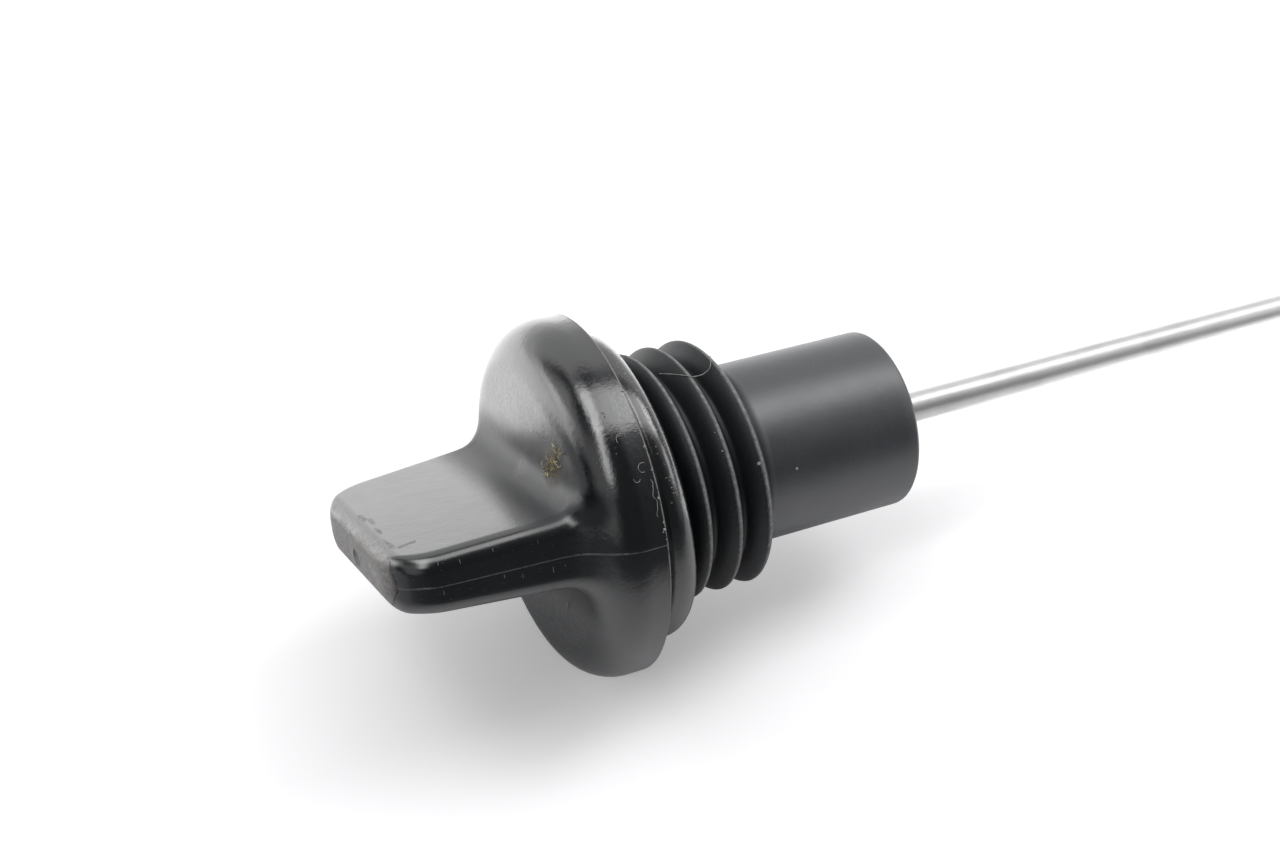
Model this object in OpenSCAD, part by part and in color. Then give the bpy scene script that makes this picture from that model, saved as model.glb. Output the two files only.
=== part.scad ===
// Screw-in oil dipstick. A moulded cap has a flat grip, a round flange, a coarse thread and a plain
// shank. A rubber ring sits behind the flange. A steel wire rod is moulded into the shank and ends in
// a flattened measuring blade.
// The dipstick lies on a flat surface, on the flange's rim and the blade's end, with +X towards the
// tip. The origin is on that surface, at the middle of the part's outer box.
// Each piece is drawn about its own axis, with z = 0 at the flange's back face and +z towards the tip,
// and lie() then lays it down. In that drawing frame +x points down and -y points to the near side.

/* [Flange] */
// Outer diameter of the flange
flange_d = 28; // [27:0.5:34]
// Thickness of the flange
flange_t = 4.9; // [4.5:0.1:7]
// Radius that rounds the flange's front edge
shoulder_r = 3.5; // [2:0.1:4]

/* [Grip] */
// How far the grip stands out from the flange's front
grip_reach = 13.8; // [10:0.1:20]
// Width of the grip at the flange
grip_w = 22.4; // [18:0.1:22.6]
// Width of the grip at its free end
grip_end_w = 20; // [14:0.1:22]
// Thickness of the grip at the flange
grip_t = 5.6; // [4.6:0.1:7]
// Thickness of the grip at its free end
grip_end_t = 4.2; // [3.6:0.1:5]
// Radius of the two corners of the free end
corner_r = 3.6; // [2:0.1:5]
// Radius along the grip's edges
edge_r = 1.2; // [0.5:0.1:1.5]
// Radius of the hollow where the grip runs into the flange
root_r = 1.8; // [0.8:0.1:2]
// Turn of the grip about the axis, near side up
grip_roll = 22.3; // [0:0.1:90]

/* [Thread] */
// Diameter over the thread's crests
thread_d = 19.7; // [19:0.1:21]
// Height of the thread's ridge above its root
thread_depth = 1.45; // [1:0.05:1.6]
// Distance from one turn to the next
thread_pitch = 2.5; // [2.4:0.1:3]
// Number of turns, with the run-in and the run-out
thread_turns = 2.83; // [2:0.01:3.2]
// Distance from the flange's back face to the middle of the ridge where it begins
thread_start = 4; // [3.9:0.1:5]
// Direction in which the ridge begins
thread_from = 84; // [0:1:360]

/* [Neck and shank] */
// Diameter of the neck that carries the sealing ring
neck_d = 18.4; // [17.6:0.1:18.6]
// Diameter of the plain shank
shank_d = 14.4; // [8:0.1:15]
// Distance from the flange's back face to the shank's end
shank_end = 25.1; // [20:0.1:40]

/* [Sealing ring] */
// Thickness of the ring's round section
ring_section = 2.8; // [2:0.1:2.9]
// Play between the ring and the neck, on the radius
ring_play = 0.1; // [0.08:0.01:0.3]
// Lean of the ring, which touches the flange at the top only
ring_lean = 3.4; // [0:0.1:5]

/* [Rod] */
// Diameter of the wire
rod_d = 2.5; // [2:0.1:4]
// Distance from the flange's back face to the rod's tip
tip_reach = 282; // [150:1:400]
// Depth of the wire inside the shank
rod_depth = 17; // [12:0.5:18]
// Width of the flattened blade
blade_w = 7.5; // [6.5:0.1:8.5]
// Thickness of the blade
blade_t = 0.7; // [0.6:0.1:1.2]
// Length of the blade
blade_len = 42; // [35:1:80]
// Distance from the tip to the low level line
low_line = 9; // [5:0.5:15]
// Distance between the low and the full level line
line_gap = 18; // [10:0.5:19]

/* [Hidden] */
$fn = 96;
flange_r = flange_d / 2;
flat_r = flange_r - shoulder_r;
crest_r = thread_d / 2;
root_core_r = crest_r - thread_depth;
neck_r = neck_d / 2;
shank_r = shank_d / 2;
rod_r = rod_d / 2;
neck_len = thread_start - 1.1;
thread_end = thread_start + thread_turns * thread_pitch;
core_end = thread_end - 0.8;
// Behind the thread its root falls steeply, and a slight cone leads on to the shank
fall_end = thread_end + 0.1;
cone_end = thread_end + 1.125;
grip_top = flange_t + grip_reach;
// Head of the wire inside the shank, which keeps it from pulling out
head_r = rod_r + 0.8;
head_len = 1.6;
blade_taper = 8;
line_w = 0.6;
line_depth = 0.25;
// The flange's rim and the lower edge of the tip touch the surface
tilt = atan((flange_r - blade_t / 2) / tip_reach);
rest_h = flange_r * cos(tilt);
// Reach of the part along +X and -X from the middle of the flange's back face
front_x = tip_reach * cos(tilt) + blade_t / 2 * sin(tilt);
low_corner = (grip_end_w / 2 - corner_r) * sin(grip_roll) + (grip_end_t / 2 - edge_r) * cos(grip_roll);
back_x = grip_top * cos(tilt) + low_corner * sin(tilt);
mid_x = (front_x - back_x) / 2;

module lie() translate([-mid_x, 0, rest_h]) rotate([0, 90 + tilt, 0]) children();

// Points of a circular arc in steps of about 9 degrees
function arc(cx, cy, r, from, to) =
    let (n = ceil(abs(to - from) / 9))
    [for (i = [0 : n]) let (a = from + (to - from) * i / n) [cx + r * cos(a), cy + r * sin(a)]];

// Closed skin over rings that have the same number of points. Each end is a fan about its middle.
module skin(rings) {
    m = len(rings);
    n = len(rings[0]);
    middle = [for (r = [rings[0], rings[m - 1]]) ([for (p = r) 1] * r) / n];
    polyhedron(
        concat([for (r = rings, p = r) p], middle),
        concat(
            [for (k = [0 : m - 2], i = [0 : n - 1]) [k * n + i, k * n + (i + 1) % n, (k + 1) * n + i]],
            [for (k = [0 : m - 2], i = [0 : n - 1])
                [k * n + (i + 1) % n, (k + 1) * n + (i + 1) % n, (k + 1) * n + i]],
            [for (i = [0 : n - 1]) [m * n, (i + 1) % n, i]],
            [for (i = [0 : n - 1]) [m * n + 1, (m - 1) * n + i, (m - 1) * n + (i + 1) % n]]),
        convexity = 8);
}

// Height of the flange's front surface at radius r
function front_h(r) = r <= flat_r ? flange_t
    : flange_t - shoulder_r + sqrt(max(0, pow(shoulder_r, 2) - pow(r - flat_r, 2)));

// Loss of half-width that a rounding of radius r makes at height h
function round_off(r, h) = h <= grip_top - r ? 0 : r - sqrt(max(0, r * r - pow(h - grip_top + r, 2)));
function blend_h(h) = (h - flange_t) / grip_reach;
function half_w(h) = (grip_w + (grip_end_w - grip_w) * blend_h(h)) / 2 - round_off(corner_r, h);
function half_t(h) = (grip_t + (grip_end_t - grip_t) * blend_h(h)) / 2 - round_off(edge_r, h);

// Outline of the grip, grown by d: half-thickness a along x, half-width b along y, corner radius c
function outline(a, b, c, d) = concat(
    [for (i = [0 : 4]) [a - c + (c + d) * cos(i * 22.5), b - c + (c + d) * sin(i * 22.5)]],
    [for (i = [0 : 4]) [-a + c + (c + d) * cos(90 + i * 22.5), b - c + (c + d) * sin(90 + i * 22.5)]],
    [for (i = [1 : 5]) [-a - d, (b - c) * (1 - i / 3)]],
    [for (i = [0 : 4]) [-a + c + (c + d) * cos(180 + i * 22.5), -b + c + (c + d) * sin(180 + i * 22.5)]],
    [for (i = [0 : 4]) [a - c + (c + d) * cos(270 + i * 22.5), -b + c + (c + d) * sin(270 + i * 22.5)]],
    [for (i = [1 : 5]) [a + d, (b - c) * (i / 3 - 1)]]);

function grip_ring(h, d) = outline(half_t(h), half_w(h), min(edge_r, half_t(h) * 0.9), d);

// Rings over the free end's rounding, then rings down the hollow at the root, which follow the
// flange's front, and last two rings that lie inside the flange
grip_rings = concat(
    [for (b = [0, 15, 30, 45, 60, 75, 90]) let (h = grip_top - corner_r * (1 - cos(b)))
        [for (p = grip_ring(h, 0)) [p.x, p.y, h]]],
    [for (b = [0 : 15 : 75]) let (up = root_r * (1 - sin(b)), out = root_r * (1 - cos(b)))
        [for (p = grip_ring(flange_t + up, out)) [p.x, p.y, front_h(norm(p)) + up]]],
    [[for (p = grip_ring(flange_t, root_r * 0.74 + 0.5)) [p.x, p.y, front_h(norm(p)) - 0.3]]],
    [[for (p = grip_ring(flange_t, root_r * 0.74 + 0.2)) [p.x, p.y, 1]]]);

module grip() rotate([0, 0, -grip_roll]) mirror([0, 0, 1]) skin(grip_rings);

// Flange, neck, thread root and shank, with the cavity that the wire fills
module turned_body() rotate_extrude()
    polygon(concat(
        [[0, -flange_t]],
        [for (p = arc(flat_r, flange_t - shoulder_r, shoulder_r, 90, 0)) [p.x, -p.y]],
        [[flange_r, 0], [neck_r, 0], [neck_r, neck_len - 0.5], [root_core_r, neck_len]],
        [[root_core_r, core_end], [shank_r + 0.2, fall_end], [shank_r, cone_end]],
        [[shank_r, shank_end - 0.3], [shank_r - 0.3, shank_end], [rod_r, shank_end]],
        [[rod_r, shank_end - rod_depth + head_len], [head_r, shank_end - rod_depth + head_len]],
        [[head_r, shank_end - rod_depth], [0, shank_end - rod_depth]]));

// Widths of the ridge's long flank, which faces the flange, and of its steep flank, and its rounded
// section as [along the axis, share of height]
ridge_long = 1.3;
ridge_steep = 0.9;
ridge_section = [for (u = [-1, -0.8, -0.55, -0.25, 0, 0.25, 0.55, 0.8, 1])
    [u * (u < 0 ? ridge_long : ridge_steep), 1 - pow(abs(u), 1.7)]];
ridge_step = 9;
ridge_n = round(thread_turns * 360 / ridge_step);
function smooth_step(t) = t * t * (3 - 2 * t);
// Radius of the crest, which falls off over the first and the last 45 degrees. It begins on the
// thread's root and ends on the thinner shank.
function crest_at(i) =
    let (low = (i < ridge_n / 2 ? root_core_r : shank_r) - 0.3)
    low + (crest_r - low) * smooth_step(min(1, min(i, ridge_n - i) * ridge_step / 45));

// Ridge of the thread, whose foot lies inside the shank's radius
module ridge() skin([for (i = [0 : ridge_n])
    let (a = thread_from + i * 360 * thread_turns / ridge_n,
        mid = thread_start + thread_pitch * thread_turns * i / ridge_n,
        top = crest_at(i),
        foot = min(root_core_r - 0.1, top - 0.05))
    [for (q = concat([[ridge_steep, -1], [-ridge_long, -1]], ridge_section))
        let (r = q.y < 0 ? shank_r - 0.4 : foot + (top - foot) * q.y)
        [r * cos(a), r * sin(a), mid + q.x]]]);

module screw_cap() color([0.075, 0.08, 0.085]) lie() {
    turned_body();
    grip();
    ridge();
}

module sealing_ring() color([0.05, 0.05, 0.055]) lie()
    translate([0, 0, ring_section / 2 + (neck_r + ring_play + ring_section / 2) * sin(ring_lean)])
    rotate([0, -ring_lean, 0])
    rotate_extrude() translate([neck_r + ring_play + ring_section / 2, 0]) circle(d = ring_section, $fn = 48);

// Outline of the blade, with rounded corners at its tip
module blade_outline() {
    c = 0.5;
    polygon(concat(
        [[-blade_w / 2, tip_reach - blade_len], [blade_w / 2, tip_reach - blade_len]],
        arc(blade_w / 2 - c, tip_reach - c, c, 0, 90),
        arc(-blade_w / 2 + c, tip_reach - c, c, 90, 180)));
}

module blade() difference() {
    translate([-blade_t / 2, 0, 0]) rotate([0, 90, 0]) rotate([0, 0, 90])
        linear_extrude(height = blade_t) blade_outline();
    for (z = [tip_reach - low_line, tip_reach - low_line - line_gap])
        translate([-blade_t / 2 - 1, -blade_w, z - line_w / 2]) cube([1 + line_depth, 2 * blade_w, line_w]);
}

module dip_rod() color([0.72, 0.72, 0.73]) lie() {
    rotate_extrude() polygon([
        [0, shank_end - rod_depth], [head_r, shank_end - rod_depth],
        [head_r, shank_end - rod_depth + head_len], [rod_r, shank_end - rod_depth + head_len],
        [rod_r, tip_reach - blade_len - blade_taper], [0, tip_reach - blade_len - blade_taper]]);
    hull() {
        translate([0, 0, tip_reach - blade_len - blade_taper - 0.5])
            cylinder(h = 0.5, r = rod_r - 0.02, $fn = 32);
        translate([-blade_t / 2, -blade_w / 2, tip_reach - blade_len]) cube([blade_t, blade_w, 0.02]);
    }
    blade();
}

screw_cap();
sealing_ring();
dip_rod();
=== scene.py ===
import math
from types import SimpleNamespace

import bpy
import numpy as np
from mathutils import Matrix, Vector


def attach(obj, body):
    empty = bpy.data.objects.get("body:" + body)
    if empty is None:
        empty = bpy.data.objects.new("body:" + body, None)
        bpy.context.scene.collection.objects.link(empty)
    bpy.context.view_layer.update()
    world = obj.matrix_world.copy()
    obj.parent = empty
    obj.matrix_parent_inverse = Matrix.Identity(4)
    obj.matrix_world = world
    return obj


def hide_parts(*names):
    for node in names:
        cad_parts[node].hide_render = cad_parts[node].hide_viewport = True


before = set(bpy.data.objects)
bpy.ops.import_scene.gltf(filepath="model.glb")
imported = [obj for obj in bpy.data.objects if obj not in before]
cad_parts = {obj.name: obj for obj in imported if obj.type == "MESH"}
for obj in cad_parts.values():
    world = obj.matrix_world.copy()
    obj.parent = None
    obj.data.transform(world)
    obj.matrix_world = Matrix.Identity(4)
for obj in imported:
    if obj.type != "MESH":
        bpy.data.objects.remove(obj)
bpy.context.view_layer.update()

# Sizes in millimetres, as in the part's source. A local frame serves every piece: z = 0 at the flange's
# back face with +z towards the tip, +x down and -y to the near side.
FLANGE_R, FLANGE_T, SHOULDER = 14.0, 4.9, 3.5
FLAT_R = FLANGE_R - SHOULDER
REACH = 13.8
TOP = FLANGE_T + REACH
GRIP_W, GRIP_END_W, GRIP_T, GRIP_END_T = 22.4, 20.0, 5.6, 4.2
CORNER, EDGE, ROOT, ROLL = 3.6, 1.2, 1.8, math.radians(22.3)
CREST, DEPTH, PITCH, TURNS, START, FROM = 9.85, 1.45, 2.5, 2.83, 4.0, 84.0
RIDGE_LONG, RIDGE_STEEP, RIDGE_BLEND = 1.3, 0.9, 0.16
CORE = CREST - DEPTH
NECK_R, NECK_LEN = 9.2, START - 1.1
CORE_END = START + TURNS * PITCH - 0.8
FALL_END = START + TURNS * PITCH + 0.1
CONE_END = START + TURNS * PITCH + 1.125
SHANK_R, SHANK_END = 7.2, 25.1
RING_S, RING_PLAY, RING_LEAN = 2.8, 0.1, math.radians(3.4)
ROD_R, TIP, BLADE_W, BLADE_T, BLADE_LEN, TAPER = 1.25, 282.0, 7.5, 0.7, 42.0, 8.0
LINES = (TIP - 9.0, TIP - 27.0)
LINE_DEPTH, TIP_ROUND = 0.25, 0.5
# The finer fall behind the thread, and where the thread's fine rows stop
FALL_START, FALL_FOOT = FALL_END - 0.35, SHANK_R + 0.1
ROWS_END, ROWS = 12.35, 158
# Edges of the turned profile as radius and height: the flange's back edge and the shank's end with the bore
BACK_EDGE = ((13.99, -0.05), (13.94, -0.012), (13.86, 0), (13.2, 0), (11.8, 0), (10.4, 0), (9.6, 0),
             (9.4, 0.02), (9.27, 0.1), (9.2, 0.28))
SHANK_EDGE = ((7.17, 24.9), (7.05, 25.03), (6.9, 25.09), (6.6, 25.1), (5, 25.1), (3, 25.1), (1.9, 25.1),
              (1.6, 25.07), (1.42, 24.96), (1.3, 24.7), (1.27, 24.0))
# Columns round the cap, and the half angle of those that run along one long side of the grip
N, LONG_SIDE = 256, 58.0
# How the dipstick lies: on the flange's rim and on the blade's end
TILT = math.atan((FLANGE_R - BLADE_T / 2) / TIP)
REST_H = FLANGE_R * math.cos(TILT)
LOW = (GRIP_END_W / 2 - CORNER) * math.sin(ROLL) + (GRIP_END_T / 2 - EDGE) * math.cos(ROLL)
TIP_X = TIP * math.cos(TILT) + BLADE_T / 2 * math.sin(TILT)
GRIP_X = TOP * math.cos(TILT) + LOW * math.sin(TILT)
MID_X = (TIP_X - GRIP_X) / 2
LIE = Matrix.Rotation(math.pi / 2 + TILT, 3, "Y")
PLACE = Vector((-MID_X, 0, REST_H))
# The hair's points: angle, radius and height
HAIR = ((170.4, 8.75, 6.0), (173.2, 8.92, 6.17), (177.1, 9.2, 6.36), (181.2, 9.52, 6.6), (184.3, 9.78, 6.85),
        (187.2, 9.97, 7.18), (187.0, 9.8, 7.6), (185.5, 9.55, 8.1), (184.3, 9.35, 8.5), (183.8, 9.45, 8.85),
        (184.0, 9.65, 9.05), (183.6, 9.8, 9.2), (181.0, 9.95, 9.45), (177.5, 9.97, 9.75))
# A short fibre on the lower face
SHORT_HAIR = ((3.2, -7.25, -4.97), (3.8, -7.1, -4.98), (4.4, -6.9, -4.97))
# Curls on the rim: angle, height, size, start and sweep in degrees
CURLS = ((214.6, -1.55, 0.46, -60, -205), (224.4, -0.75, 0.42, 150, 225), (226.9, -1.35, 0.3, -100, 175),
         (206.0, -2.3, 0.25, 20, 160), (120.0, -2.2, 0.3, 30, 220), (60.0, -1.4, 0.25, 130, 190))
# Grains along the flange's back edge, as angle and height, and on the thread, as place and radius
RIM_GRAINS = ((218.6, -0.16), (225.4, -0.14), (233.7, -0.17), (240.8, -0.16), (242.9, -0.18), (243.6, -0.3),
              (246.0, -0.14), (200.5, -0.15))
GRAINS = (((-5.78, -7.92, 9.8), 0.17), ((-5.6, -8.02, 9.95), 0.1), ((-6.98, -6.86, 7.22), 0.07),
          ((-3.6, -9.05, 5.1), 0.06), ((-7.9, -5.75, 7.1), 0.05), ((0.77, -9.85, 10.2), 0.07),
          ((-3.02, -6.6, 14.02), 0.12))
# The tuft of dirt: fibres, where its middle line starts and how far it runs, and its spread
TUFT_FIBRES, TUFT_FROM, TUFT_RUN, TUFT_SPREAD = 30, (-9.4, -5.0), (4.2, 2.6), (0.34, 0.26)
# Nicks at the grip's end: place in the grip's directions, width and length
NICKS = ((-2.1, 1.3, -17.5, 0.9, 0.3), (-2.1, 0.1, -17.15, 1.0, 0.22), (-2.1, -2.3, -17.3, 0.9, 0.2),
         (-2.1, -4.9, -17.5, 0.9, 0.16), (-2.1, -5.9, -17.45, 0.8, 0.25), (-2.15, -6.6, -16.8, 0.35, 0.5),
         (-2.2, -6.4, -16.1, 0.3, 0.4))
# Spots of painted shade near the grip's root, where the gloss is cut to darken them: place, fray, the radii where
# it starts and is full. Then the gloss that is left.
LEFT_SHADE, LEFT_SHADE_GLOSS = ((-10.7, -6.0, -4.6), 1.5, 4.4, 2.0), 0.85
ROOT_SHADE, ROOT_SHADE_GLOSS = ((-7.4, -9.8, -4.6), 0.8, 2.0, 0.9), 0.3
# Light: the level of the dark room, of the wall behind (high, near the horizon and on its left) and of the
# right side, and what the floor adds where it is seen and where the part reflects it
BASE, BACK, BACK_LOW, LEFT_LOW, SIDE = 0.06, 0.9, 1.35, 1.9, 0.35
FLOOR_SEEN, FLOOR_GLOSS = 0.26, 1.25
# Soft boxes: u, v of the middle, turn in degrees, half length, half width, softness, level
LAMPS = (
    (0.8, 0.0, 0, 0.2, 0.2, 0.05, 3.8),
    (0.18, 0.0, 0, 0.33, 0.27, 0.05, 1.8),
    (-0.36, 0.08, 80, 0.27, 0.19, 0.08, 3.5),
    (-0.7, -0.46, 52, 0.27, 0.11, 0.13, 3.2),
    (1.9, -0.9, 0, 0.15, 0.2, 0.08, 2.0),
    (-2.2, 1.2, 0, 0.3, 0.3, 0.15, 0.8),
    (-2.4, -0.9, 0, 0.3, 0.5, 0.2, 0.35),
)
# The camera: place in metres, directions of the picture's right and up, focal length and width in pixels
EYE = Vector(((-MID_X - 40.934) / 1000, -0.095621, 0.104429))
PICTURE_RIGHT, PICTURE_UP = Vector((0.90455, -0.42637, 0.0)), Vector((0.26788, 0.56832, 0.77798))
FOCAL_PX, WIDTH_PX, SENSOR = 1800, 1280, 36
# Colours
WHITE = (1, 1, 1, 1)
COLD_BLACK, COLD_BLACK_PALE = (0.0032, 0.005, 0.0072, 1), (0.005, 0.0068, 0.0092, 1)
SHANK_BLACK = (0.0085, 0.0122, 0.0195, 1)
SMEAR, SCUFF, STROKE = (0.075, 0.075, 0.072, 1), (0.13, 0.13, 0.13, 1), (0.2, 0.2, 0.2, 1)
WORN_DARK, WORN_PALE = (0.085, 0.074, 0.066, 1), (0.25, 0.232, 0.215, 1)
HOLE, CUT, PARTING = (0.008, 0.008, 0.008, 1), (0.003, 0.003, 0.003, 1), (0.12, 0.122, 0.125, 1)
# The crest line is a painted highlight along the thread's crests, with dust in it
CREST_HIGHLIGHT, CREST_FILM = (0.32, 0.325, 0.33, 1), (0.13, 0.13, 0.125, 1)
DUST, FLASH, YELLOW_DIRT = (0.28, 0.27, 0.25, 1), (0.22, 0.21, 0.19, 1), (0.3, 0.24, 0.12, 1)
RUBBER, RUBBER_DUST = (0.006, 0.0075, 0.0095, 1), (0.36, 0.34, 0.3, 1)
LINT_DARK, LINT_PALE = (0.22, 0.215, 0.2, 1), (0.42, 0.415, 0.4, 1)
TUFT_DARK, TUFT_PALE = (0.26, 0.19, 0.1, 1), (0.8, 0.7, 0.4, 1)
STEEL, STEEL_DULL, STEEL_LINE = (0.66, 0.655, 0.655, 1), (0.55, 0.54, 0.535, 1), (0.16, 0.15, 0.14, 1)
FLOOR_WHITE, FLOOR_DARK = (0.89, 0.89, 0.905, 1), (0.1, 0.1, 0.1, 1)
GLOSS_IOR = 2.1


# ---- meshes ----
def laid(points):
    """Points in local millimetres, laid down in the part's frame, in metres."""
    return ((np.asarray(points, float) @ np.array(LIE).T + np.array(PLACE)) / 1000).tolist()


def add_object(name, points, faces, smooth=True):
    """An object from points in local millimetres and their faces."""
    mesh = bpy.data.meshes.new(name)
    mesh.from_pydata(laid(points), [], faces)
    mesh.validate()
    mesh.polygons.foreach_set("use_smooth", [smooth] * len(mesh.polygons))
    mesh.update()
    obj = bpy.data.objects.new(name, mesh)
    bpy.context.scene.collection.objects.link(obj)
    return obj


def add_skin(name, rings):
    """One closed skin over rings of points (ring, column, xyz), with a fan on each end."""
    rings = np.asarray(rings, float)
    m, n, _ = rings.shape
    k, i = np.meshgrid(np.arange(m - 1), np.arange(n), indexing="ij")
    j = (i + 1) % n
    quads = np.stack([k * n + i, k * n + j, (k + 1) * n + j, (k + 1) * n + i], -1).reshape(-1, 4)
    points = [rings.reshape(-1, 3), rings[0].mean(0)[None], rings[-1].mean(0)[None]]
    a, b = np.arange(n), (np.arange(n) + 1) % n
    first = np.stack([b, a, np.full(n, m * n)], -1)
    last = np.stack([a + (m - 1) * n, b + (m - 1) * n, np.full(n, m * n + 1)], -1)
    return add_object(name, np.concatenate(points), quads.tolist() + first.tolist() + last.tolist())


# ---- the cap ----
theta = np.arange(N) * 2 * math.pi / N
rings = []


def profile_r(q):
    """Radius and height of the flange's front at distance q along its profile from the axis."""
    b = np.clip((q - FLAT_R) / SHOULDER, 0, math.pi / 2)
    flat = q <= FLAT_R
    r = np.where(flat, q, FLAT_R + SHOULDER * np.sin(b))
    return r, np.where(flat, FLANGE_T, FLANGE_T - SHOULDER * (1 - np.cos(b)))


def front_h(r):
    """Height of the flange's front at radius r."""
    s = np.clip(r - FLAT_R, 0, SHOULDER)
    return np.where(r <= FLAT_R, FLANGE_T, FLANGE_T - SHOULDER + np.sqrt(np.maximum(SHOULDER ** 2 - s ** 2, 0)))


def round_off(r, h):
    """How far a rounding of radius r at the grip's end draws in the side at height h."""
    s = np.clip(h - (TOP - r), 0, r)
    return r - np.sqrt(np.maximum(r * r - s * s, 0))


def half_w(h):
    """Half the grip's width at height h."""
    return (GRIP_W + (GRIP_END_W - GRIP_W) * (h - FLANGE_T) / REACH) / 2 - round_off(CORNER, h)


def half_t(h):
    """Half the grip's thickness at height h."""
    return (GRIP_T + (GRIP_END_T - GRIP_T) * (h - FLANGE_T) / REACH) / 2 - round_off(EDGE, h)


def outline(a, b, c, d):
    """Rounded rectangle grown by d, one point a column; columns near x = +-a run along the long sides."""
    t = (np.degrees(theta) + 360) % 360
    x, y = np.zeros(N), np.zeros(N)
    for side, centre in ((1, 0.0), (-1, 180.0)):
        u = (t - centre + 180) % 360 - 180
        on = np.abs(u) <= LONG_SIDE
        x[on] = side * (a + d)
        y[on] = side * (b - c) * np.sin(np.radians(u[on])) / math.sin(math.radians(LONG_SIDE))
    arc_len, flat = (c + d) * math.pi / 2, 2 * (a - c)
    whole = 2 * arc_len + flat
    for side, centre in ((1, 90.0), (-1, 270.0)):
        u = (t - centre + 180) % 360 - 180
        on = np.abs(u) < 90 - LONG_SIDE
        s = (u[on] / (90 - LONG_SIDE) + 1) / 2 * whole
        on_first, on_last = s < arc_len, s > arc_len + flat
        ang = np.where(on_first, s / (c + d), np.where(on_last, (s - flat) / (c + d), math.pi / 2))
        px = np.where(on_first, a - c, np.where(on_last, -(a - c), a - c - (s - arc_len)))
        x[on] = side * (px + (c + d) * np.cos(ang))
        y[on] = side * (b - c + (c + d) * np.sin(ang))
    return x, y


def grip_ring(h, d):
    """The grip's outline at height h, grown by d."""
    return outline(half_t(h), half_w(h), min(EDGE, half_t(h) * 0.9), d)


def ring(x, y, h):
    """Adds a ring that is given in the grip's own directions."""
    c, s = math.cos(-ROLL), math.sin(-ROLL)
    rings.append(np.stack([x * c - y * s, x * s + y * c, -(h + np.zeros(N))], -1))


def circle(r, z):
    """Adds a ring of radius r, which may differ from column to column."""
    rings.append(np.stack([r * np.cos(theta - ROLL), r * np.sin(theta - ROLL), z + np.zeros(N)], -1))


def drops(radius, first, step):
    """Depths below the grip's end at which a rounding gets a ring, from its angles in degrees."""
    return {round(radius * (1 - math.cos(math.radians(b))), 4) for b in range(first, 91, step)}


# The grip's end, its rounded edge and corners, and its walls, which bend towards the shoulder's form
x, y = grip_ring(TOP, 0)
for s in (0.08, 0.3, 0.55, 0.8, 0.93):
    ring(x * s, y * s, TOP)
for drop in sorted(drops(EDGE, 0, 9) | drops(CORNER, 18, 6)):
    ring(*grip_ring(TOP - drop, 0), TOP - drop)
h_wall = np.linspace(TOP - CORNER, FLANGE_T + ROOT, 18)[1:-1]
for h in h_wall:
    w = (h_wall[0] - h) / (h_wall[0] - h_wall[-1])
    gx, gy = grip_ring(h, 0)
    low = front_h(np.hypot(gx, gy)) - FLANGE_T
    ring(gx, gy, h + low * w * 0.9)
# The hollow round the grip's root, and the flange's front from there to its rim
hollow = len(rings)
for b in np.linspace(0, 90, 15):
    up, out = ROOT * (1 - math.sin(math.radians(b))), ROOT * (1 - math.cos(math.radians(b)))
    gx, gy = grip_ring(FLANGE_T + up, out)
    ring(gx, gy, front_h(np.hypot(gx, gy)) + up)
gx, gy = grip_ring(FLANGE_T, ROOT)
r0, p0 = np.hypot(gx, gy), np.arctan2(gy, gx)
q0 = np.where(r0 <= FLAT_R, r0, FLAT_R + SHOULDER * np.arcsin(np.clip((r0 - FLAT_R) / SHOULDER, 0, 1)))
q1 = FLAT_R + SHOULDER * math.pi / 2
turn = (theta - p0 + math.pi) % (2 * math.pi) - math.pi
for u in np.linspace(0, 1, 27)[1:]:
    r, h = profile_r(q0 + (q1 - q0) * u)
    p = p0 + turn * u
    ring(r * np.cos(p), r * np.sin(p), h)

# The hollow is smoothed, so that it runs softly into the shoulder
first, last = hollow - 3, hollow + 26
skin = np.array(rings[first:last])
row = np.arange(len(skin))
weight = np.clip(np.minimum(row, len(skin) - 1 - row) / 4, 0, 1)[:, None, None]
for _ in range(9):
    mean = skin.copy()
    mean[1:-1] = 0.25 * skin[:-2] + 0.5 * skin[1:-1] + 0.25 * skin[2:]
    skin += (mean - skin) * weight
rings[first:last] = list(skin)

# The rim, the flange's back and the neck
for z in (-1.15, -0.8, -0.45, -0.2, -0.1):
    circle(FLANGE_R, z)
for r, z in BACK_EDGE:
    circle(r, z)
for z in (0.9, 1.7, NECK_LEN - 0.7):
    circle(NECK_R, z)
circle(NECK_R - 0.03, NECK_LEN - 0.5)

column_angle = (np.degrees(theta) - math.degrees(ROLL) - FROM) % 360


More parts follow.
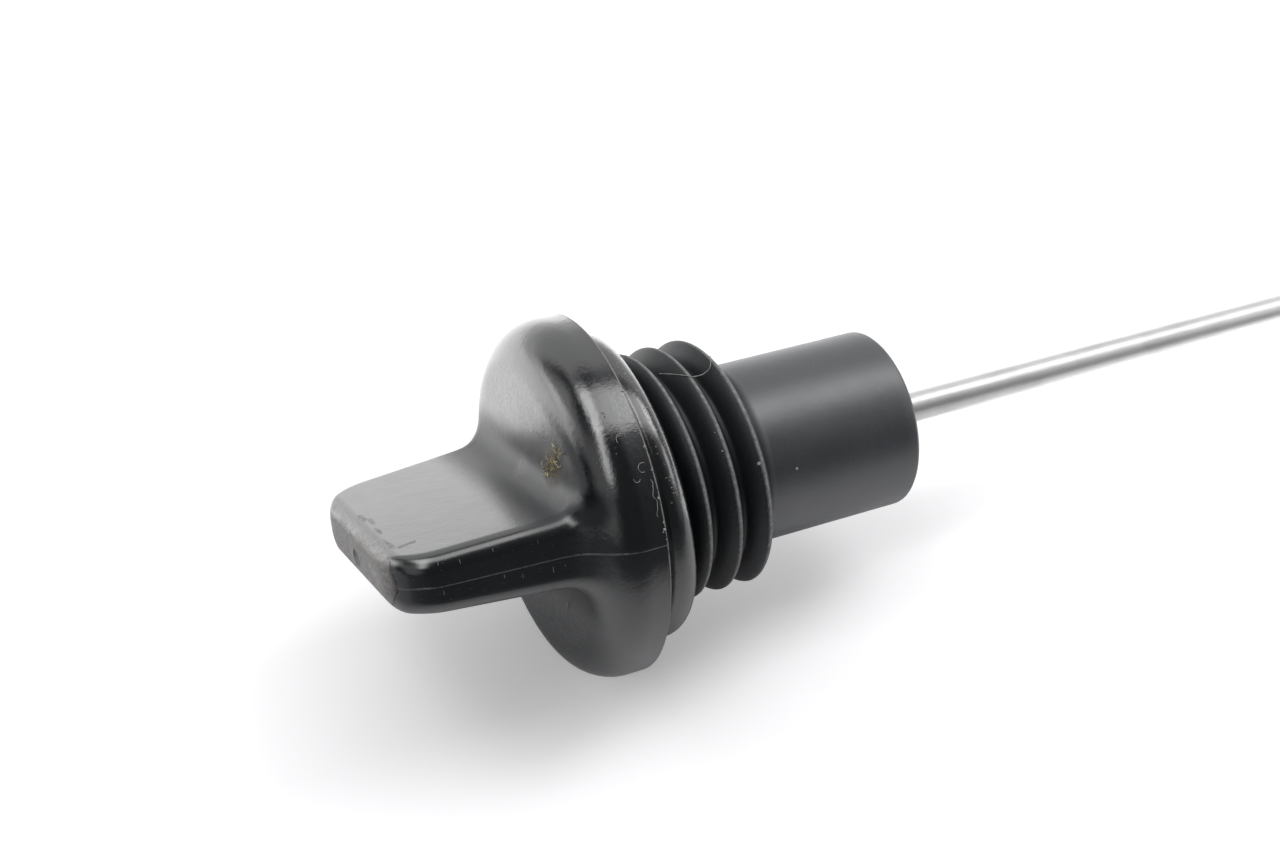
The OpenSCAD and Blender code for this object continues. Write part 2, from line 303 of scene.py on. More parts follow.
def thread_r(z):
    """Radius of the thread's surface at height z, one value a column."""
    base = np.interp(z, (CORE_END, FALL_START, CONE_END), (CORE, FALL_FOOT, SHANK_R)) + np.zeros(N)
    if z < NECK_LEN:
        base = np.maximum(base, CORE + (NECK_R - CORE) * np.clip((NECK_LEN - z) / 0.5, 0, 1))
    best = base - 1
    for k in range(4):
        a = column_angle + 360 * k
        mid = START + PITCH * a / 360
        low = np.where(a < 180 * TURNS, CORE, SHANK_R) - 0.3
        f = np.clip(np.minimum(a, 360 * TURNS - a) / 45, 0, 1)
        top = low + (CREST - low) * f * f * (3 - 2 * f)
        foot = np.minimum(CORE - 0.1, top - 0.05)
        u = np.where(z < mid, (mid - z) / RIDGE_LONG, (z - mid) / RIDGE_STEEP)
        body = foot + (top - foot) * (1 - np.minimum(u, 1) ** 1.75)
        body = np.where(u > 1, foot - (u - 1) * 6.5, body)
        best = np.where(a <= 360 * TURNS, np.maximum(best, body), best)
    w = np.clip(0.5 + 0.5 * (best - base) / RIDGE_BLEND, 0, 1)
    return base * (1 - w) + best * w + RIDGE_BLEND * w * (1 - w)


z_rows = np.linspace(NECK_LEN - 0.35, ROWS_END, ROWS)
thread = np.array([thread_r(z) for z in z_rows])
thread[1:-1] = 0.25 * thread[:-2] + 0.5 * thread[1:-1] + 0.25 * thread[2:]
for r, z in zip(thread, z_rows):
    circle(r, z)
for z in np.linspace(12.8, SHANK_END - 0.35, 16):
    circle(SHANK_R, z)
for r, z in SHANK_EDGE:
    circle(r, z)
cap = add_skin("cap_moulding", rings)

# ---- the sealing ring, slightly wavy and leaning ----
M_RING, M_SEC = 224, 48
ring_c = NECK_R + RING_PLAY + RING_S / 2
section = np.arange(M_SEC) * 2 * math.pi / M_SEC
torus = []
for p in np.arange(M_RING) * 2 * math.pi / M_RING:
    wave = 0.05 * math.sin(3 * p + 0.7) + 0.03 * math.sin(5 * p + 2.1)
    rr = RING_S / 2 * (1 - 0.012 - 0.008 * math.sin(2 * p))
    rad = ring_c + rr * np.cos(section)
    torus.append(np.stack([rad * math.cos(p), rad * math.sin(p), rr * np.sin(section) + wave], -1))
torus = np.concatenate(torus)
c, s = math.cos(-RING_LEAN), math.sin(-RING_LEAN)
leant_x, leant_z = torus[:, 0] * c + torus[:, 2] * s, -torus[:, 0] * s + torus[:, 2] * c
seat = RING_S / 2 + ring_c * math.sin(RING_LEAN) + 0.02
faces = []
for i in range(M_RING):
    a, b = i * M_SEC, (i + 1) % M_RING * M_SEC
    faces += [[a + j, b + j, b + (j + 1) % M_SEC, a + (j + 1) % M_SEC] for j in range(M_SEC)]
rubber = add_object("rubber_ring", np.stack([leant_x, torus[:, 1], leant_z + seat], -1), faces)

# ---- the rod ----
psi = np.arange(64) * 2 * math.pi / 64
rod_rings = []


def round_rect(a, b):
    """Rounded rectangle that keeps each column's direction close to that of a circle."""
    dx, dy = np.cos(psi), np.sin(psi)
    power = 9.0
    grow = (np.abs(dx / a) ** power + np.abs(dy / b) ** power) ** (-1 / power)
    return dx * grow, dy * grow


def rod_ring(x, y, z):
    rod_rings.append(np.stack([x, y, z + 0 * psi], -1))


# The round wire, the taper and the blade with its level lines
wire_x, wire_y = ROD_R * np.cos(psi), ROD_R * np.sin(psi)
blade_x, blade_y = round_rect(BLADE_T / 2, BLADE_W / 2)
for z in [10.0, SHANK_END - 3, *np.linspace(SHANK_END, TIP - BLADE_LEN - TAPER, 30)]:
    rod_ring(wire_x, wire_y, z)
for u in np.linspace(0, 1, 15)[1:]:
    w = u * u * (3 - 2 * u)
    rod_ring(wire_x * (1 - w) + blade_x * w, wire_y * (1 - w) + blade_y * w, TIP - BLADE_LEN - TAPER + TAPER * u)
heights = set(np.round(np.linspace(TIP - BLADE_LEN, TIP - 0.55, 26)[1:], 3))
for line in LINES:
    heights = {z for z in heights if abs(z - line) > 0.6}
    heights |= {line + step for step in (-0.4, -0.3, -0.24, 0, 0.24, 0.3, 0.4)}
for z in sorted(heights):
    in_line = any(abs(z - line) < 0.28 for line in LINES)
    rod_ring(np.where((blade_x < -0.1) & in_line, LINE_DEPTH - BLADE_T / 2, blade_x), blade_y, z)
# The blade's rounded tip
for a in np.radians(np.linspace(0, 80, 9)[1:]):
    inset = max(0.0, math.sin(a) * 0.5 - 0.35) * 0.6
    tx, ty = round_rect(BLADE_T / 2 - inset, BLADE_W / 2 - TIP_ROUND * (1 - math.cos(a)))
    rod_ring(tx, ty, TIP - TIP_ROUND + TIP_ROUND * math.sin(a))
rod = add_skin("wire_rod", rod_rings)


# ---- lint, grit and dirt on the cap ----
class Bits:
    """Fibres and grains that become one object."""

    def __init__(self):
        self.points, self.faces, self.count = [], [], 0

    def take(self, points, faces):
        self.faces.extend([[self.count + i for i in face] for face in faces])
        self.points.append(points)
        self.count += len(points)

    def fibre(self, path, r):
        """A thin round fibre along the path, six-sided, that thins out at both ends."""
        path = np.asarray(path, float)
        for _ in range(3):
            cut = np.stack([0.75 * path[:-1] + 0.25 * path[1:], 0.25 * path[:-1] + 0.75 * path[1:]], 1)
            path = np.concatenate([path[:1], cut.reshape(-1, 3), path[-1:]])
        n = len(path)
        along = np.gradient(path, axis=0)
        along /= np.linalg.norm(along, axis=1)[:, None]
        side = np.cross(along, (0.31, 0.57, 0.76))
        side /= np.linalg.norm(side, axis=1)[:, None]
        other = np.cross(along, side)
        thin = r * np.clip(np.minimum(np.arange(n), n - 1 - np.arange(n)) / 3 + 0.25, 0, 1)[:, None]
        points, faces = [], []
        for i in range(6):
            a, j = i * math.pi / 3, (i + 1) % 6
            points.append(path + thin * (side * math.cos(a) + other * math.sin(a)))
            faces += [[i * n + q, i * n + q + 1, j * n + q + 1, j * n + q] for q in range(n - 1)]
        faces.append([i * n for i in range(6)])
        faces.append([(5 - i) * n + n - 1 for i in range(6)])
        self.take(np.concatenate(points), faces)

    def grain(self, centre, r, seed):
        """A small angular grain."""
        rng = np.random.default_rng(seed)
        rows, cols = 5, 7
        points, faces = [[0.0, 0.0, -r]], []
        for i in range(1, rows):
            for j in range(cols):
                lat, lon = math.pi * (i / rows - 0.5), 2 * math.pi * j / cols
                q = r * rng.uniform(0.65, 1.1)
                flat = q * math.cos(lat)
                points.append([flat * math.cos(lon), flat * math.sin(lon), q * math.sin(lat)])
        points.append([0.0, 0.0, r])
        last_row = 1 + (rows - 2) * cols
        for j in range(cols):
            k = (j + 1) % cols
            faces.append([0, 1 + k, 1 + j])
            faces.append([last_row + j, last_row + k, last_row + cols])
            for i in range(rows - 2):
                a, b = 1 + i * cols + j, 1 + i * cols + k
                faces.append([a, b, b + cols, a + cols])
        self.take(np.array(points) + np.asarray(centre, float), faces)

    def add(self, name):
        return add_object(name, np.concatenate(self.points), self.faces, smooth=False)


def polar(deg, r, z):
    """The point at that angle, radius and height."""
    return (r * math.cos(math.radians(deg)), r * math.sin(math.radians(deg)), z)


# Just clear of the rim
RIM = FLANGE_R + 0.02
bits = Bits()
bits.fibre([polar(*point) for point in HAIR], 0.034)
bits.fibre(SHORT_HAIR, 0.028)
for deg, z, size, start, sweep in CURLS:
    curl = []
    for i in range(13):
        a, reach = math.radians(start + sweep * i / 12), size * (1 - 0.03 * i)
        curl.append(polar(deg + math.degrees(reach * math.cos(a) / RIM), RIM, z + reach * math.sin(a)))
    bits.fibre(curl, 0.022)
wavy = [-0.42 + 0.1 * math.sin(1.1 * i) + 0.06 * math.sin(2.3 * i) for i in range(12)]
bits.fibre([polar(228.0 + i, RIM, z) for i, z in enumerate(wavy)], 0.022)
for deg, z in RIM_GRAINS:
    bits.grain(polar(deg, RIM, z), 0.055 + 0.02 * (deg % 3), int(deg))
for centre, r in GRAINS:
    bits.grain(centre, r, int(100 * r) + 7)
lint = bits.add("lint_and_grit")

# The tuft in the hollow beside the grip
bits = Bits()
rng = np.random.default_rng(11)
for _ in range(TUFT_FIBRES):
    along = rng.uniform(0, 1)
    px, py = (TUFT_FROM[i] + TUFT_RUN[i] * along + rng.normal(0, TUFT_SPREAD[i]) for i in (0, 1))
    way = rng.uniform(0, 2 * math.pi)
    path = []
    for q in range(5):
        path.append((px, py, -FLANGE_T - 0.04 - 0.3 * math.sin(math.pi * q / 4) * rng.uniform(0.2, 1.0)))
        way += rng.normal(0, 0.6)
        px, py = px + 0.17 * math.cos(way), py + 0.17 * math.sin(way)
    bits.fibre(path, rng.uniform(0.016, 0.034))
tuft = bits.add("dry_dirt")


# ---- materials ----
class Nodes:
    """Short names for building a node tree."""

    def __init__(self, tree):
        self.t = tree
        tree.nodes.clear()

    def new(self, kind, **props):
        n = self.t.nodes.new(kind)
        for name, value in props.items():
            setattr(n, name, value)
        return n

    def put(self, socket, value):
        if isinstance(value, bpy.types.NodeSocket):
            self.t.links.new(value, socket)
        else:
            socket.default_value = value

    def fill(self, n, *values):
        """Puts values into the node's first sockets and returns the node."""
        for socket, value in zip(n.inputs, values):
            self.put(socket, value)
        return n

    def m(self, op, *values):
        return self.fill(self.new("ShaderNodeMath", operation=op), *values).outputs[0]

    def chain(self, op, values):
        out = values[0]
        for value in values[1:]:
            out = self.m(op, out, value)
        return out

    def mul(self, *values):
        return self.chain("MULTIPLY", values)

    def add(self, *values):
        return self.chain("ADD", values)

    def high(self, *values):
        return self.chain("MAXIMUM", values)

    def sub(self, a, b):
        return self.m("SUBTRACT", a, b)

    def size(self, value):
        return self.m("ABSOLUTE", value)

    def swing(self, value, amount):
        """A noise's swing about its middle, times an amount."""
        return self.mul(self.sub(value, 0.5), amount)

    def step(self, v, lo, hi, a=0.0, b=1.0):
        n = self.new("ShaderNodeMapRange", interpolation_type="SMOOTHSTEP")
        return self.fill(n, v, lo, hi, a, b).outputs[0]

    def mix(self, f, a, b):
        n = self.new("ShaderNodeMix", data_type="RGBA")
        for i, value in ((0, f), (6, a), (7, b)):
            self.put(n.inputs[i], value)
        return n.outputs[2]

    def mixf(self, f, a, b):
        n = self.new("ShaderNodeMix", data_type="FLOAT")
        for i, value in ((0, f), (2, a), (3, b)):
            self.put(n.inputs[i], value)
        return n.outputs[0]

    def noise(self, vec, scale, detail, rough=0.5, dist=0.0):
        n = self.new("ShaderNodeTexNoise")
        for name, value in (("Vector", vec), ("Scale", scale), ("Detail", detail), ("Roughness", rough),
                            ("Distortion", dist)):
            self.put(n.inputs[name], value)
        return n.outputs[0]

    def vec(self, x, y, z):
        return self.fill(self.new("ShaderNodeCombineXYZ"), x, y, z).outputs[0]

    def xyz(self, v):
        return self.fill(self.new("ShaderNodeSeparateXYZ"), v).outputs

    def vm(self, op, *values):
        n = self.fill(self.new("ShaderNodeVectorMath", operation=op), *values)
        return n.outputs[1] if op in ("LENGTH", "DISTANCE", "DOT_PRODUCT") else n.outputs[0]

    def bump(self, height, strength, distance, normal=None):
        n = self.new("ShaderNodeBump")
        for name, value in (("Strength", strength), ("Distance", distance), ("Height", height)):
            self.put(n.inputs[name], value)
        if normal is not None:
            self.put(n.inputs["Normal"], normal)
        return n.outputs[0]

    def specks(self, vec, scale, size, share):
        """Small flecks with ragged edges: one a cell, on that share of the cells."""
        v = self.new("ShaderNodeTexVoronoi")
        self.put(v.inputs["Vector"], vec)
        self.put(v.inputs["Scale"], scale)
        pick = self.m("LESS_THAN", self.xyz(v.outputs["Color"])[0], share)
        ragged = self.swing(self.noise(vec, scale * 3.0, 2, 0.6), size * 2.2)
        return self.mul(self.step(self.add(v.outputs["Distance"], ragged), size, size * 0.4), pick)


def radius(k, x, y):
    return k.m("SQRT", k.add(k.mul(x, x), k.mul(y, y)))


def material(name):
    """A material, its nodes, its shader and the place on the part in local millimetres."""
    mat = bpy.data.materials.new(name)
    mat.use_nodes = True
    k = Nodes(mat.node_tree)
    out = k.new("ShaderNodeOutputMaterial")
    bsdf = k.new("ShaderNodeBsdfPrincipled")
    k.put(out.inputs[0], bsdf.outputs[0])
    stand = LIE.inverted()
    mm = k.new("ShaderNodeMapping")
    k.put(mm.inputs["Vector"], k.new("ShaderNodeTexCoord").outputs["Object"])
    mm.inputs["Location"].default_value = -(stand @ PLACE)
    mm.inputs["Rotation"].default_value = stand.to_euler()
    mm.inputs["Scale"].default_value = (1000.0, 1000.0, 1000.0)
    return mat, k, bsdf, mm.outputs[0]


def cap_zones(k, mm):
    """Places on the cap in its own and in the grip's directions, masks of its parts and shared noises."""
    c = SimpleNamespace(mm=mm)
    c.x, c.y, c.z = k.xyz(mm)
    c.r = radius(k, c.x, c.y)
    co, si = math.cos(ROLL), math.sin(ROLL)
    c.xg = k.sub(k.mul(c.x, co), k.mul(c.y, si))
    c.yg = k.add(k.mul(c.x, si), k.mul(c.y, co))
    c.tail = k.step(c.z, 1.5, 2.8)
    c.shank = k.step(c.z, 11.5, 12.2)
    c.grip = k.step(c.z, -5.6, -7.4)
    c.face = k.mul(k.step(c.z, -4.2, -4.8), k.step(c.r, 12.2, 11.0))
    c.shoulder = k.mul(k.step(c.z, -1.4, -2.4), k.sub(1.0, c.grip))
    c.top = k.mul(c.grip, k.step(c.xg, -1.3, -1.9))
    c.cloud = k.noise(mm, 0.35, 4, 0.6)
    c.fine = k.noise(mm, 7.0, 3, 0.6)
    c.grain = k.noise(mm, 3.0, 5, 0.7)
    return c


def cap_gloss(k, c):
    """Roughness and specular level: a shiny rim, a duller face and grip, a matt thread and shank."""
    rough = k.mixf(c.shoulder, 0.13, 0.15)
    rough = k.mixf(c.face, rough, 0.27)
    rough = k.mixf(c.grip, rough, k.mixf(c.top, 0.17, 0.23))
    rough = k.add(rough, k.swing(c.cloud, 0.08))
    rough = k.add(rough, k.swing(c.grain, k.mixf(c.grip, 0.22, 0.05)))
    rough = k.mixf(c.tail, rough, k.add(k.mixf(c.shank, 0.46, 0.38), k.mul(c.cloud, 0.1)))
    return rough, k.mixf(c.tail, 0.5, k.mixf(c.shank, 0.18, 0.49))


def grime_and_shade_marks(k, c):
    """Grime in the corner between grip and flange, which also cuts the gloss there as painted shade, and the
    smear beside it.
    """
    off = k.high(k.sub(k.size(c.xg), GRIP_T / 2), 0.0)
    rise = k.high(k.sub(-FLANGE_T, c.z), 0.0)
    far = k.m("SQRT", k.add(k.mul(off, off, 1.4), k.mul(rise, rise)))
    far = k.add(far, k.swing(c.grain, 1.2))
    grime_and_shade = k.mul(k.step(far, 5.0, 2.2), k.sub(1.0, k.step(c.z, -4.3, -3.4)))
    grime_and_shade = k.mul(grime_and_shade, k.step(k.size(c.yg), 11.3, 9.8))
    film = k.mul(k.step(far, 5.4, 2.4), k.step(off, 1.3, 2.2), k.step(rise, 0.9, 0.1), k.step(c.xg, 0.0, -1.0))
    patchy = k.step(k.noise(c.mm, 0.6, 4, 0.65, 0.5), 0.42, 0.66)
    film = k.mul(film, c.face, k.add(0.25, k.mul(0.75, patchy)))
    smudge = k.step(k.vm("DISTANCE", c.mm, (-3.5, 1.01, -5.19)), 1.5, 0.4)
    smudge = k.mul(smudge, k.step(c.grain, 0.3, 0.6))
    return grime_and_shade, k.high(k.mul(film, 0.75), smudge)


def shade_spot(k, c, centre, fray, start, full):
    """The mask of a spot of painted shade, where the gloss is cut."""
    return k.step(k.add(k.vm("DISTANCE", c.mm, centre), k.swing(c.grain, fray)), start, full)


def worn_marks(k, c):
    """The grip's worn end, the dimple that the mould left in it, and the crack and nicks along its edge."""
    bow = k.add(c.xg, 0.25)
    bow = k.add(c.yg, k.sub(8.4, k.mul(bow, bow, 0.35)))
    bow = k.add(bow, k.swing(k.noise(c.mm, 1.6, 3, 0.6), 0.5))
    end = k.mul(k.step(c.z, -TOP + 0.9, -TOP + 0.25), k.step(bow, 0.0, 0.5))
    blotch = k.step(k.noise(c.mm, 0.8, 5, 0.65, 0.6), 0.36, 0.62)
    worn = k.mul(end, k.add(0.3, k.mul(blotch, 0.7)))
    hole = k.vec(k.m("DIVIDE", k.sub(c.xg, 0.25), 0.8), k.m("DIVIDE", c.yg, 1.05), 0.0)
    hole = k.add(k.vm("LENGTH", hole), k.swing(c.grain, 0.5))
    hole = k.mul(k.step(hole, 1.05, 0.5), end)
    crack = k.mul(k.step(k.size(bow), 0.09, 0.03), k.step(c.z, -TOP + 1.2, -TOP + 0.8))
    cuts = k.mul(crack, k.step(c.xg, -1.9, -1.5), k.step(k.noise(c.mm, 1.1, 3, 0.6), 0.36, 0.5))
    frayed = k.noise(k.vec(c.xg, k.mul(c.yg, 2.2), k.mul(c.z, 3.0)), 2.2, 5, 0.8, 1.0)
    frayed = k.step(frayed, 0.46, 0.6)
    for cx, cy, cz, wide, long in NICKS:
        gap = [k.m("DIVIDE", k.sub(*pair), size) for pair, size in (
            ((c.xg, cx), 0.6), ((c.yg, cy), wide), ((c.z, cz), long))]
        cuts = k.high(cuts, k.mul(k.step(k.vm("LENGTH", k.vec(*gap)), 1.0, 0.7), frayed))
    return worn, hole, k.mul(cuts, 0.7)


def scuff_marks(k, c):
    """Long scuffs on the grip, and pits in the gloss of its upper face."""
    stretched = k.vec(k.mul(c.xg, 3.0), k.mul(c.yg, 3.0), k.mul(c.z, 0.7))
    scuff = k.mul(k.step(k.noise(stretched, 1.6, 6, 0.78, 0.4), 0.64, 0.7), c.grip)
    pits = k.mul(k.step(k.noise(c.mm, 2.6, 6, 0.8), 0.6, 0.68), c.top, k.step(c.yg, -1.0, -4.5))
    return scuff, pits


def crest_highlight_marks(k, c):
    """The pale line on the thread's crests, a painted highlight with dust rubbed into it, and the film of dust
    beside it.
    """
    part_turn = k.mul(k.m("ARCTAN2", c.y, c.x), 1 / (2 * math.pi))
    turns = k.sub(k.m("DIVIDE", k.sub(c.z, START), PITCH), k.sub(part_turn, FROM / 360))
    phase = k.sub(k.m("FRACT", k.add(turns, 0.5)), 0.5)
    on = k.mul(c.tail, k.sub(1.0, c.shank), k.step(c.r, 9.3, 9.7))
    line = k.mul(k.step(phase, -0.08, 0.0), k.step(phase, 0.12, 0.05), on)
    line = k.mul(line, k.add(0.5, k.mul(0.5, k.step(c.grain, 0.4, 0.64))))
    film = k.mul(k.step(phase, -0.24, 0.0), k.step(phase, 0.2, 0.08), on)
    return line, k.mul(film, k.step(k.noise(c.mm, 4.5, 5, 0.75), 0.52, 0.68))


def dust_marks(k, c):
    """Dust of three sizes, and short strokes on the grip."""
    dust = k.high(k.specks(c.mm, 1.1, 0.055, 0.12), k.specks(k.vm("ADD", c.mm, (5.1, 0.7, 8.3)), 2.3, 0.07, 0.04))
    tiny = k.specks(k.vm("ADD", c.mm, (9.7, 6.9, 4.3)), 5.5, 0.12, 0.035)
    strokes = k.specks(k.vec(k.mul(c.xg, 0.35), k.mul(c.yg, 0.5), k.mul(c.z, 2.2)), 1.5, 0.11, 0.5)
    return k.high(dust, k.mul(tiny, 0.7)), k.mul(strokes, c.grip)


def mould_marks(k, c):
    """Broken flash along the flange's back edge, and the mould's parting line."""
    flash = k.mul(k.step(c.z, -0.17, -0.09), k.step(c.r, 13.85, 13.95))
    flash = k.mul(flash, k.step(k.noise(c.mm, 1.3, 6, 0.75), 0.36, 0.56))
    part = k.mul(k.step(k.size(c.xg), 0.065, 0.02), k.m("GREATER_THAN", c.z, -TOP + 0.5))
    part = k.mul(part, k.m("LESS_THAN", c.z, 0.0), k.add(0.45, k.mul(0.55, k.step(c.grain, 0.4, 0.6))))
    return flash, part


def cap_plastic():
    mat, k, bsdf, mm = material("cap_plastic_worn")
    c = cap_zones(k, mm)
    rough, level = cap_gloss(k, c)
    grime_and_shade, smear = grime_and_shade_marks(k, c)
    worn, hole, cuts = worn_marks(k, c)
    scuff, pits = scuff_marks(k, c)
    # line is a painted highlight along the thread's crests, with dust in it
    line, film = crest_highlight_marks(k, c)
    dust, strokes = dust_marks(k, c)
    flash, part = mould_marks(k, c)
    # Yellow-brown dirt under the tuft
    streaks = k.noise(k.vm("MULTIPLY", mm, (1.6, 0.8, 1.0)), 3.0, 7, 0.8, 1.6)
    spot = k.mul(k.step(k.vm("DISTANCE", mm, (-6.8, -3.7, -4.95)), 2.0, 0.3), k.step(streaks, 0.46, 0.56))
    matt = k.high(line, film, dust, strokes, spot, flash)

    col = k.mix(k.step(c.cloud, 0.4, 0.75), COLD_BLACK, COLD_BLACK_PALE)
    worn_colour = k.mix(k.step(c.grain, 0.35, 0.65), WORN_DARK, WORN_PALE)
    for mask, share, colour in (
        (c.shank, 0.8, SHANK_BLACK), (smear, 0.75, SMEAR), (worn, 1.0, worn_colour), (hole, 0.95, HOLE),
        (cuts, 1.0, CUT), (scuff, 0.22, SCUFF), (line, 0.85, CREST_HIGHLIGHT), (film, 0.45, CREST_FILM),
        (dust, 0.75, DUST), (strokes, 0.4, STROKE), (flash, 0.85, FLASH), (spot, 0.6, YELLOW_DIRT),
        (part, 0.22, PARTING),
    ):
        col = k.mix(k.mul(mask, share), col, colour)
    for mask, value in ((grime_and_shade, 0.42), (worn, 0.5), (cuts, 0.6), (matt, 0.8)):
        rough = k.mixf(mask, rough, value)
    # The grime cuts the corner's gloss: dirt there, and painted shade in the corner
    level = k.mixf(grime_and_shade, level, 0.2)
    # Painted shade: the gloss is cut in two spots near the grip's root, to darken them
    shade_on_left = k.mul(shade_spot(k, c, *LEFT_SHADE), k.step(c.z, -3.6, -4.3))
    level = k.mul(level, k.mixf(shade_on_left, 1.0, LEFT_SHADE_GLOSS))
    level = k.mul(level, k.mixf(shade_spot(k, c, *ROOT_SHADE), 1.0, ROOT_SHADE_GLOSS))
    level = k.mixf(cuts, k.mixf(hole, level, 0.12), 0.1)
    level = k.mul(level, k.mixf(pits, 1.0, 0.4))
    k.put(bsdf.inputs["Base Color"], col)
    k.put(bsdf.inputs["Roughness"], rough)
    k.put(bsdf.inputs["Specular IOR Level"], level)
    bsdf.inputs["IOR"].default_value = GLOSS_IOR

    # Relief: each layer's height, its strength and its depth in metres
    peel = k.mul(k.noise(mm, 2.4, 4, 0.65), k.sub(1.0, c.tail))
    fine_strength = k.mixf(c.tail, k.mixf(k.high(c.face, c.grip), 0.22, 0.06), 0.4)
    marks = k.add(part, matt, k.mul(scuff, 0.3))
    wear = k.sub(k.mul(worn, c.grain), k.add(cuts, k.mul(hole, 4.0)))
    normal = None
    for height, strength, depth in (
        (k.noise(mm, 0.7, 2), k.mixf(c.grip, 0.2, 0.06), 0.00008),
        (peel, k.mixf(c.grip, 0.35, 0.12), 0.00004),
        (c.fine, fine_strength, 0.00002),
        (marks, 0.5, 0.00004),
        (wear, 0.6, 0.00007),
    ):
        normal = k.bump(height, strength, depth, normal)
    k.put(bsdf.inputs["Normal"], normal)
    return mat


def ring_rubber():
    mat, k, bsdf, mm = material("ring_rubber_wet")
    x, y, z = k.xyz(mm)
    cloud = k.noise(mm, 0.6, 4, 0.6)
    dust = k.high(k.specks(mm, 1.6, 0.07, 0.1), k.specks(k.vm("ADD", mm, (1.3, 4.7, 2.3)), 3.1, 0.1, 0.05))
    # A band of grit along the ring's upper back
    band = k.mul(k.step(z, 1.1, 1.9), k.step(z, 2.75, 2.4), k.step(radius(k, x, y), 10.9, 11.5))
    band = k.mul(band, k.step(x, -5.2, -6.4), k.step(k.noise(mm, 0.8, 3, 0.6), 0.4, 0.56))
    dust = k.high(dust, k.mul(k.specks(k.vm("ADD", mm, (2.3, 0.7, 9.3)), 5.5, 0.32, 0.5), band))
    clean = k.add(k.mixf(k.step(x, 1.0, -5.0), 0.24, 0.13), k.mul(cloud, 0.12))
    k.put(bsdf.inputs["Base Color"], k.mix(k.mul(dust, 0.8), RUBBER, RUBBER_DUST))
    k.put(bsdf.inputs["Roughness"], k.mixf(dust, clean, 0.7))
    # Painted shade: the ring's gloss is cut where it meets the flange
    k.put(bsdf.inputs["Specular IOR Level"], k.step(z, 0.0, 0.45, 0.15, 0.5))
    bsdf.inputs["IOR"].default_value = GLOSS_IOR
    normal = k.bump(k.noise(mm, 1.4, 3), 0.2, 0.0001)
    k.put(bsdf.inputs["Normal"], k.bump(dust, 0.5, 0.00006, normal))
    return mat


def rod_steel():
    mat, k, bsdf, mm = material("rod_steel_drawn")
    x, y, z = k.xyz(mm)
    drawn = k.noise(k.vec(k.mul(x, 6.0), k.mul(y, 6.0), k.mul(z, 0.12)), 1.5, 5, 0.6)
    film = k.step(k.noise(mm, 0.15, 4, 0.6), 0.45, 0.7)
    line = k.high(*[k.m("LESS_THAN", k.size(k.sub(z, v)), 0.27) for v in LINES])
    col = k.mix(k.mul(line, 0.7), k.mix(film, STEEL, STEEL_DULL), STEEL_LINE)
    k.put(bsdf.inputs["Base Color"], col)
    bsdf.inputs["Metallic"].default_value = 1.0
    k.put(bsdf.inputs["Roughness"], k.add(0.36, k.mul(drawn, 0.16)))
    k.put(bsdf.inputs["Normal"], k.bump(drawn, 0.25, 0.00004))
    return mat


def fibres(name, dark, pale):
    mat, k, bsdf, mm = material(name)
    k.put(bsdf.inputs["Base Color"], k.mix(k.step(k.noise(mm, 2.0, 3, 0.6), 0.35, 0.65), dark, pale))
    bsdf.inputs["Roughness"].default_value = 0.85
    return mat


for obj, node, slot, mat in (
    (cap, "screw_cap", "cap_plastic", cap_plastic()),
    (rubber, "sealing_ring", "ring_rubber", ring_rubber()),
    (rod, "dip_rod", "rod_steel", rod_steel()),
):
    obj.data.materials.append(mat)
    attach(obj, "root")
    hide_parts(node)

lint.data.materials.append(fibres("lint_pale", LINT_DARK, LINT_PALE))
tuft.data.materials.append(fibres("dirt_dry", TUFT_DARK, TUFT_PALE))
for obj in (lint, tuft):
    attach(obj, "root")

# ---- the floor ----
bpy.ops.mesh.primitive_plane_add(size=8, location=(0, 0, 0))
floor = bpy.context.object
floor.name = "floor"
mat = bpy.data.materials.new("floor_white")
mat.use_nodes = True
k = Nodes(mat.node_tree)
path = k.new("ShaderNodeLightPath")
seen = path.outputs["Is Camera Ray"]
fx, fy, _ = k.xyz(k.new("ShaderNodeTexCoord").outputs["Object"])
# What the part reflects: the white sheet is brightest behind it and ends in front and on the left
behind = k.add(fy, k.mul(k.add(fx, 0.15), 0.5))
far_left = k.mul(k.step(fx, -0.145, -0.19), k.step(behind, 0.03, 0.02))
front = k.add(fy, k.mul(k.high(k.add(fx, 0.14), 0.0), 0.4))
sheet = k.mul(k.step(front, -0.085, 0.005), k.sub(1.0, k.mul(far_left, 0.65)))
shine = k.mul(path.outputs["Is Glossy Ray"], k.step(behind, 0.023, 0.031))
matt = k.fill(k.new("ShaderNodeBsdfDiffuse"), k.mix(k.high(seen, sheet), FLOOR_DARK, FLOOR_WHITE))
glow = k.fill(k.new("ShaderNodeEmission"), WHITE, k.add(k.mul(seen, FLOOR_SEEN), k.mul(shine, FLOOR_GLOSS)))
both = k.fill(k.new("ShaderNodeAddShader"), matt.outputs[0], glow.outputs[0])
k.fill(k.new("ShaderNodeOutputMaterial"), both.outputs[0])
floor.data.materials.append(mat)

# ---- the light ----
world = bpy.data.worlds.new("studio")
bpy.context.scene.world = world
world.use_nodes = True
k = Nodes(world.node_tree)
sky = k.new("ShaderNodeTexCoord").outputs["Generated"]
dx, dy, dz = k.xyz(sky)


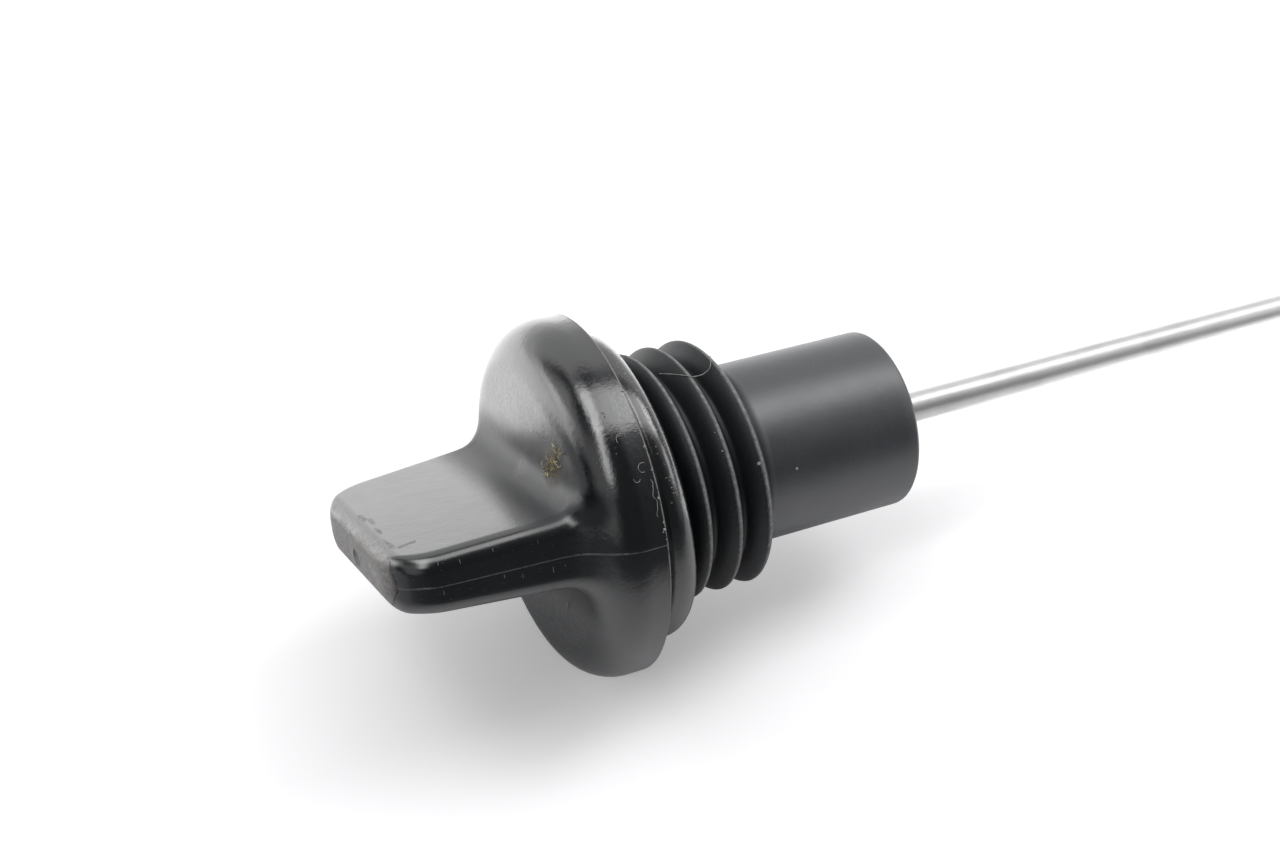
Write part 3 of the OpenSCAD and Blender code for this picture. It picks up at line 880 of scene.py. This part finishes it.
def lamp(u, v, turn, half_u, half_v, soft, level):
    """A soft box that fills a rectangle of directions. Its middle is the direction (u, v, 1)."""
    mid = Vector((u, v, 1.0)).normalized()
    along = Vector((math.cos(math.radians(turn)), math.sin(math.radians(turn)), 0.0))
    along = (along - mid * along.dot(mid)).normalized()
    ahead = k.high(k.vm("DOT_PRODUCT", sky, mid), 0.02)
    box = level
    for way, half in ((along, half_u), (mid.cross(along), half_v)):
        off = k.size(k.m("DIVIDE", k.vm("DOT_PRODUCT", sky, way), ahead))
        box = k.mul(k.step(off, half + soft, half - soft), box)
    return box


high = k.m("DIVIDE", dy, k.high(dz, 0.02))
back = k.step(high, 0.38, 0.72)
light = k.mixf(back, BASE, k.mixf(k.step(dz, 0.35, 0.05), BACK, BACK_LOW))
# On the left the wall is low and bright, with the dark room above it
azimuth = k.m("DEGREES", k.m("ARCTAN2", dy, dx))
height = k.m("DEGREES", k.m("ARCSINE", dz))
top = k.add(13.0, k.mul(k.high(k.sub(azimuth, 132.0), 0.0), 0.4))
strip = k.mul(k.step(k.sub(height, top), 4.0, -4.0), k.step(azimuth, 168.0, 150.0), LEFT_LOW)
left = k.mul(k.step(azimuth, 117.0, 131.0), k.step(height, 53.0, 46.0))
light = k.mixf(left, light, k.high(strip, BASE))
side = k.step(k.m("DIVIDE", dx, k.high(k.size(dy), 0.02)), 0.2, 1.5)
light = k.add(light, k.mul(side, k.sub(1.0, back), SIDE))
for args in LAMPS:
    light = k.add(light, lamp(*args))
light = k.mul(light, k.step(dz, -0.04, 0.01))
seen = k.new("ShaderNodeLightPath").outputs["Is Camera Ray"]
room = k.fill(k.new("ShaderNodeBackground"), WHITE, k.mixf(seen, light, 1.0))
k.fill(k.new("ShaderNodeOutputWorld"), room.outputs[0])

# ---- the camera ----
scene = bpy.context.scene
scene.view_settings.view_transform = "Standard"
cam = bpy.data.objects.new("camera", bpy.data.cameras.new("camera"))
scene.collection.objects.link(cam)
out_of = PICTURE_RIGHT.cross(PICTURE_UP).normalized()
rot = Matrix((PICTURE_RIGHT, out_of.cross(PICTURE_RIGHT), out_of)).transposed().to_4x4()
cam.matrix_world = Matrix.Translation(EYE) @ rot
cam.data.sensor_width = SENSOR
cam.data.lens = SENSOR * FOCAL_PX / WIDTH_PX
cam.data.clip_start, cam.data.clip_end = 0.01, 20
scene.camera = cam
